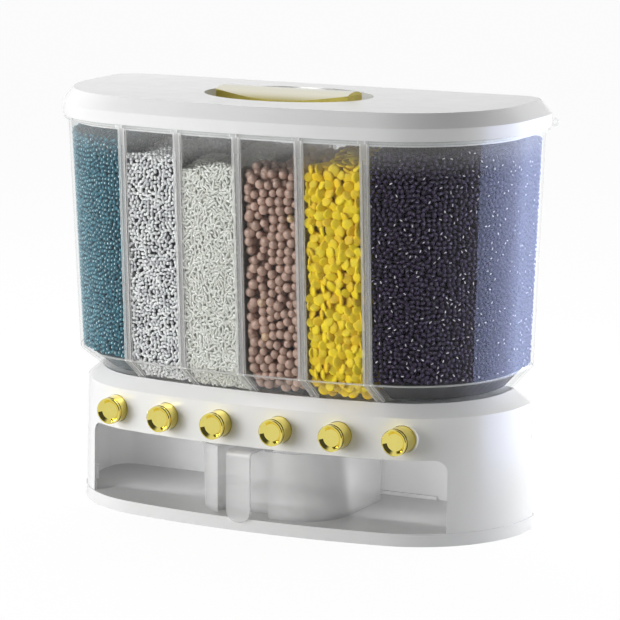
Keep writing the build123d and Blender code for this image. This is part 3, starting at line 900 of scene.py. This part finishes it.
    def build_core(self) -> None:
        """Model the core behind the skin of grains: a sheet in painted shade that stands in for the inner
        grains.
        """
        inset = self.grain.thickness * self.core_depth
        low, high = self.core_foot or self.bottom + inset, self.top - self.heap - inset
        mesh = bmesh.new()
        rings = []
        for z in (low, max(self.hollow.knee_z, low + 0.001), high):
            rings.append([mesh.verts.new((x, y, z)) for x, y in self.even_cell(z, inset, self.core_ring)])
        for lower, upper in zip(rings, rings[1:]):
            for index in range(len(lower)):
                following = (index + 1) % len(lower)
                mesh.faces.new((lower[index], lower[following], upper[following], upper[index]))
        mesh.faces.new(list(reversed(rings[0])))
        mesh.faces.new(rings[-1])
        bmesh.ops.recalc_face_normals(mesh, faces=mesh.faces)
        data = bpy.data.meshes.new(f"{self.name}_core")
        mesh.to_mesh(data)
        mesh.free()
        shade = self.core_shade_colour
        skin = MouldedPlastic(f"{self.name}_shadow", shade, tuple(0.7 * c for c in shade), roughness=0.8)
        self.carry(data, skin.build())


@dataclass(frozen=True)
class Lamp:
    """A lamp that faces the object: its direction in degrees, distance and size in metres, and watts.

    A mirrored lamp shows in the gloss only; any other lights the surfaces only.
    """

    name: str
    azimuth: float
    elevation: float
    distance: float
    width: float
    height: float
    power: float
    mirrored: bool = False


@dataclass
class Studio:
    """Camera, floor, backdrop and lamps.

    The gloss mirrors the surroundings at the level mirrored and the floor at mirrored_floor; ambient lights
    the surfaces. The camera sees floor_share of a glow of floor_level over paper that takes the shadow. Round
    the direction dark_middle the surroundings grow dark, from the nearness dark_edge to dark_core.
    """

    azimuth: float = 27.3
    elevation: float = 10.4
    distance: float = 2.7972
    lens: float = 194.4
    target: Point = (0.0139, 0.017, 0.1732)
    ambient: float = 0.50
    mirrored: float = 0.92
    mirrored_floor: float = 0.75
    floor_paper: Colour = (0.42, 0.42, 0.42)
    floor_level: float = 1.06
    floor_share: float = 0.9
    dark_middle: tuple[float, float] = (52.0, 30.0)
    dark_edge: float = 0.32
    dark_core: float = 0.80
    darkness: float = 0.92
    bay_places: tuple[float, ...] = (-0.115, 0.003, 0.118)
    bay_y: float = -0.026
    bay_z: float = 0.036
    bay_tilt: float = 106.0
    bay_size: tuple[float, float] = (0.08, 0.03)
    bay_power: float = 0.021
    card_place: Point = (0.435, 0.229, 0.201)
    card_towards: Point = (0.966, 0.2605, 0.0)
    card_size: tuple[float, float] = (0.50, 0.40)
    card_colour: Colour = (0.466, 0.58, 1.0)
    card_power: float = 2.6
    lamps: tuple[Lamp, ...] = (
        Lamp("sparkle_left", azimuth=-24, elevation=34, distance=1.2, width=0.45, height=0.45, power=11.0,
             mirrored=True),
        Lamp("sparkle_right", azimuth=88, elevation=34, distance=1.2, width=0.45, height=0.45, power=12.0,
             mirrored=True),
        Lamp("key", azimuth=-48, elevation=6, distance=1.3, width=0.8, height=0.8, power=7.6),
        Lamp("front", azimuth=-27, elevation=4, distance=1.5, width=0.8, height=0.8, power=9.0),
        Lamp("side", azimuth=128, elevation=4, distance=0.6, width=1.1, height=0.42, power=5.2),
        Lamp("back_left", azimuth=-135, elevation=55, distance=1.6, width=1.0, height=1.0, power=18.5),
    )

    def direction(self, azimuth: float, elevation: float) -> Vector:
        """Direction from the target towards a viewer.

        Args:
            azimuth: Degrees round from the front towards +X.
            elevation: Degrees up.

        Returns:
            The unit vector.
        """
        turn, rise = math.radians(azimuth), math.radians(elevation)
        return Vector((math.sin(turn) * math.cos(rise), -math.cos(turn) * math.cos(rise), math.sin(rise)))

    @staticmethod
    def facing_back(towards: Vector) -> Euler:
        """The rotation of a camera or a lamp that faces back along a direction."""
        return towards.to_track_quat("Z", "Y").to_euler()

    def camera(self) -> None:
        """Place the camera at the photograph's viewpoint."""
        data = bpy.data.cameras.new("camera")
        data.lens = self.lens
        data.sensor_width = 36
        data.clip_start = 0.05
        camera = bpy.data.objects.new("camera", data)
        towards = self.direction(self.azimuth, self.elevation)
        camera.location = Vector(self.target) + towards * self.distance
        camera.rotation_euler = self.facing_back(towards)
        bpy.context.collection.objects.link(camera)
        bpy.context.scene.camera = camera

    @staticmethod
    def area_lamp(name: str, place: Point | Vector, turn: Euler, size: tuple[float, float], power: float,
                  mirrored: bool = False, colour: Colour = (1.0, 1.0, 1.0)) -> None:
        """Add a rectangular lamp that the camera doesn't see.

        Args:
            name: The lamp's name.
            place: Its middle.
            turn: Its rotation.
            size: Width and height in metres.
            power: Watts.
            mirrored: True where only the gloss shows it.
            colour: Its colour.
        """
        data = bpy.data.lights.new(name, "AREA")
        data.shape = "RECTANGLE"
        data.size, data.size_y = size
        data.energy = power
        data.color = colour
        lamp = bpy.data.objects.new(name, data)
        lamp.location = place
        lamp.rotation_euler = turn
        lamp.visible_camera = False
        lamp.visible_glossy = mirrored
        lamp.visible_diffuse = not mirrored
        bpy.context.collection.objects.link(lamp)

    def light(self) -> None:
        """Add the lamps round the object, three in the bay and the blue card that the tank mirrors."""
        tilt = Euler((math.radians(self.bay_tilt), 0.0, 0.0))
        for x in self.bay_places:
            self.area_lamp("bay_glow", (x, self.bay_y, self.bay_z), tilt, self.bay_size, self.bay_power)
        turn = self.facing_back(Vector(self.card_towards))
        self.area_lamp("card", self.card_place, turn, self.card_size, self.card_power, True, self.card_colour)
        for lamp in self.lamps:
            towards = self.direction(lamp.azimuth, lamp.elevation)
            place = Vector(self.target) + towards * lamp.distance
            self.area_lamp(lamp.name, place, self.facing_back(towards), (lamp.width, lamp.height), lamp.power,
                           lamp.mirrored)

    def floor(self) -> None:
        """Lay a pale floor that keeps the object's shadow."""
        bpy.ops.mesh.primitive_plane_add(size=12)
        floor = bpy.context.object
        floor.name = "floor"
        bench = Bench("floor_paper")
        paper = bench.surface({"Base Color": (*self.floor_paper, 1), "Roughness": 0.9})
        path = bench.node("ShaderNodeLightPath")
        camera_ray = Wire(bench, path.outputs["Is Camera Ray"])
        level = camera_ray * (self.floor_level - self.mirrored_floor) + self.mirrored_floor
        light = bench.node("ShaderNodeEmission", None, {"Color": (1, 1, 1, 1), "Strength": level})
        seen = camera_ray * self.floor_share + Wire(bench, path.outputs["Is Glossy Ray"])
        mixed = bench.node("ShaderNodeMixShader", None,
                           {0: bench.limited(seen), 1: paper.outputs["BSDF"], 2: light.outputs["Emission"]})
        floor.data.materials.append(bench.finish(mixed.outputs["Shader"]))

    def world(self) -> None:
        """Light from all round, white where the camera and the gloss look."""
        world = bpy.data.worlds.new("studio")
        bench = Bench("studio", world)
        way = bench.node("ShaderNodeTexCoord").outputs["Generated"]
        middle = self.direction(*self.dark_middle)
        nearness = Wire(bench, bench.node("ShaderNodeVectorMath", {"operation": "DOT_PRODUCT"},
                                          {0: way, 1: middle}).outputs["Value"])
        lit = 1.0 - bench.rise(nearness, self.dark_edge, self.dark_core) * self.darkness
        path = bench.node("ShaderNodeLightPath")
        glossy = Wire(bench, path.outputs["Is Glossy Ray"])
        level = lit * (glossy * (self.mirrored - self.ambient) + self.ambient)
        soft = bench.node("ShaderNodeBackground", None, {"Strength": level})
        white = bench.node("ShaderNodeBackground", None, {"Color": (1, 1, 1, 1), "Strength": 1.0})
        mix = bench.node("ShaderNodeMixShader", None, {0: path.outputs["Is Camera Ray"], 1: soft.outputs[0],
                                                       2: white.outputs[0]})
        bench.finish(mix.outputs[0])
        bpy.context.scene.world = world

    def build(self) -> None:
        """Set up the whole studio."""
        bpy.context.scene.view_settings.view_transform = "Standard"
        self.camera()
        self.floor()
        self.world()
        self.light()


WHITE = MouldedPlastic("white_moulding", (0.86, 0.86, 0.86), (0.84, 0.84, 0.84), 0.22)
# Tray: upward faces painted grey, a painted shadow on the floor inside the bay.
TRAY_WHITE_PAINTED_SHADE = MouldedPlastic("tray_moulding_painted_shade", (0.86, 0.86, 0.86), (0.84, 0.84, 0.84), 0.22,
                            top=(0.52, 0.52, 0.52))
INNER_WHITE = MouldedPlastic("inner_moulding", (0.8, 0.8, 0.8), (0.77, 0.77, 0.77), 0.4)
GILT = PlatedMetal("gilt_plating", (0.96, 0.83, 0.24), (0.93, 0.79, 0.21), 0.05)
# Handle: sides painted dark olive and upward faces pale cream, painted reflections of the dark and bright
# surroundings in the gilt.
HANDLE_GILT_PAINTED_REFLECTIONS = PlatedMetal("handle_gilt_painted_reflections", (0.55, 0.47, 0.12), (0.45, 0.38, 0.09), 0.05, (0.99, 0.96, 0.80))
ZINC = PlatedMetal("zinc_plating", (0.75, 0.75, 0.77), (0.6, 0.6, 0.62), 0.25)
DIVIDERS = (-0.1108, -0.0554, 0.0, 0.0554, 0.1108)
# Tank wall with painted light in the divider bands, a painted reflection of the lid's inside and a painted
# highlight at the fold.
CLEAR = ClearPlastic("tank_plastic", (0.985, 0.99, 0.99), (0.88, 0.88, 0.87), 0.0, bands=DIVIDERS,
                     fog_foot=0.300, fog_top=0.331, painted_lid_reflection=0.10, fold_z=0.134)
BLADE = ClearPlastic("blade_plastic", (0.97, 0.97, 0.97), (0.86, 0.84, 0.81), 0.16)
FROST = ClearPlastic("cup_plastic", (0.98, 0.98, 0.98), (0.95, 0.95, 0.95), 0.33, 0.12, edge=0.3)
TANK_SIDE = 0.21  # past the side walls, which bound the outer fillings


@dataclass
class Dispenser:
    """The object's carried parts and its fillings.

    The grains keep blade_gap from each divider's middle, and the large discs disc_gap. Each spring only gets
    a mesh of its own; nothing presses it, and spring_length and press are not used.
    """

    dividers: tuple[float, ...] = DIVIDERS
    blade_gap: float = 0.0025
    disc_gap: float = 0.0042
    spring_feet: tuple[float, ...] = (-0.02915, -0.03803, -0.04197, -0.04197, -0.03803, -0.02915)
    spring_length: float = 0.0331
    press: float = 0.0141

    def dress(self, nodes: dict[str, bpy.types.Object]) -> None:
        """Give every carried part its finish.

        Args:
            nodes: The frame's objects by node name.
        """
        finishes = {
            "base_housing": WHITE, "base_tray": TRAY_WHITE_PAINTED_SHADE, "lid": WHITE, "chute_deck": INNER_WHITE,
            "hopper": INNER_WHITE, "tank_shell": CLEAR, "measuring_cup": FROST, "lid_handle": HANDLE_GILT_PAINTED_REFLECTIONS,
            "lid_seal": SoftRubber(), "tray_screws": ZINC, "handle_screws": ZINC, "button": GILT,
            "shutter": INNER_WHITE, "shutter_guide": INNER_WHITE, "return_spring": ZINC, "divider": BLADE,
        }
        made: dict[Any, bpy.types.Material] = {}
        for name, piece in nodes.items():
            finish = finishes.get(name) or finishes[name.rsplit("_", 1)[0]]
            if finish not in made:
                made[finish] = finish.build()
            piece.data.materials.clear()
            piece.data.materials.append(made[finish])
            log.info("%s: %s", name, made[finish].name)

    def fillings(self) -> list[Filling]:
        """List what the six compartments hold, from left to right."""
        first, second, third, fourth, fifth = self.dividers
        gap, disc_gap = self.blade_gap, self.disc_gap
        teal = GrainFinish("teal_beads", ((0.0, (0.028, 0.17, 0.24)), (0.5, (0.038, 0.22, 0.30)),
                                          (1.0, (0.06, 0.27, 0.35))), 0.5)
        # Teal dashes are painted highlights that stand in for the glints on the beads.
        teal_glints = GrainFinish("teal_glints", ((0.0, (0.30, 0.55, 0.63)), (1.0, (0.68, 0.90, 0.95))), 0.3)
        striped = GrainFinish("pale_seeds", ((0.0, (0.56, 0.56, 0.59)), (0.4, (0.90, 0.90, 0.91)),
                                             (1.0, (0.98, 0.98, 0.97))), 0.35, 0.3)
        rice = GrainFinish("white_rice", ((0.0, (0.66, 0.66, 0.59)), (0.2, (0.74, 0.745, 0.685)),
                                          (1.0, (0.83, 0.83, 0.78))), 0.3, 0.3, dimple=0.04)
        mauve = GrainFinish("mauve_balls", ((0.0, (0.46, 0.30, 0.235)), (0.97, (0.60, 0.405, 0.325)),
                                            (1.0, (0.70, 0.50, 0.24))), 0.42)
        yellow = GrainFinish("yellow_discs", ((0.0, (0.90, 0.60, 0.003)), (0.5, (0.97, 0.72, 0.004)),
                                              (1.0, (1.0, 0.80, 0.006))), 0.7)
        dark = GrainFinish("dark_beans", ((0.0, (0.014, 0.004, 0.026)), (1.0, (0.036, 0.014, 0.066))), 0.6)
        # Bean dashes: the dim purple-grey stops are painted highlights, the white top stop the beans' real
        # pale eyes.
        bean_eyes_and_glints = GrainFinish("bean_eyes_and_glints", ((0.0, (0.05, 0.035, 0.09)), (0.6, (0.11, 0.09, 0.17)),
                                              (0.82, (0.22, 0.19, 0.30)), (0.84, (0.85, 0.82, 0.88))), 0.4)
        return [
            Filling("teal_filling", Grain(GrainShape.BEAD, 3.9 * MM, 3.5 * MM, 3.4 * MM), teal,
                    left=-TANK_SIDE, right=first - gap, top=0.320, bottom=0.135, spacing=4.1 * MM, seed=1,
                    heap=0.001, lie=0.2, core_shade_colour=(0.012, 0.05, 0.065), core_foot=0.118,
                    eye_and_glint=Grain(GrainShape.BEAD, 2.0 * MM, 1.0 * MM, 0.4 * MM), eye_share=0.85, eye_spin=0.4,
                    eye_finish=teal_glints),
            Filling("pale_filling", Grain(GrainShape.SEED, 4.3 * MM, 3.2 * MM, 2.8 * MM), striped,
                    left=first + gap, right=second - gap, top=0.311, bottom=0.118, spacing=3.55 * MM, seed=2,
                    lie=0.25, core_shade_colour=(0.006, 0.006, 0.008), layers=1),
            Filling("rice_filling", Grain(GrainShape.RICE, 6.4 * MM, 2.9 * MM, 2.3 * MM), rice,
                    left=second + gap, right=third - gap, top=0.304, bottom=0.118, spacing=3.03 * MM, seed=3,
                    lie=0.2, core_shade_colour=(0.66, 0.67, 0.60)),
            Filling("mauve_filling", Grain(GrainShape.BALL, 8.6 * MM, 8.6 * MM, 8.6 * MM), mauve,
                    left=third + gap, right=fourth - gap, top=0.306, bottom=0.119, spacing=7.9 * MM, seed=4,
                    core_shade_colour=(0.10, 0.062, 0.050), smallest=0.76),
            Filling("yellow_filling", Grain(GrainShape.DISC, 10.6 * MM, 10.2 * MM, 4.8 * MM), yellow,
                    left=fourth + disc_gap, right=fifth - disc_gap, top=0.312, bottom=0.121,
                    spacing=7.2 * MM, seed=5, lie=0.42, core_shade_colour=(0.10, 0.05, 0.002), smallest=0.8),
            Filling("dark_filling", Grain(GrainShape.BEAN, 4.6 * MM, 3.5 * MM, 3.3 * MM), dark,
                    left=fifth + gap, right=TANK_SIDE, top=0.324, bottom=0.135, spacing=4.3 * MM, seed=6,
                    heap=0.002, lie=0.2, core_shade_colour=(0.003, 0.002, 0.005), core_foot=0.118,
                    eye_and_glint=Grain(GrainShape.BEAD, 2.6 * MM, 1.0 * MM, 0.4 * MM), eye_share=0.7,
                    eye_finish=bean_eyes_and_glints),
        ]

    def build(self, nodes: dict[str, bpy.types.Object]) -> None:
        """Dress the carried parts and fill the tank.

        Args:
            nodes: The frame's objects by node name.
        """
        self.dress(nodes)
        for filling in self.fillings():
            filling.build()
        for number, foot in enumerate(self.spring_feet, 1):
            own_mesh(nodes[f"return_spring_{number}"])


def main() -> None:
    """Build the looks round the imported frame."""
    logging.basicConfig(level=logging.INFO, format="%(name)s %(message)s")
    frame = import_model()
    Studio().build()
    Dispenser().build(frame["nodes"])


if __name__ == "__main__":
    main()
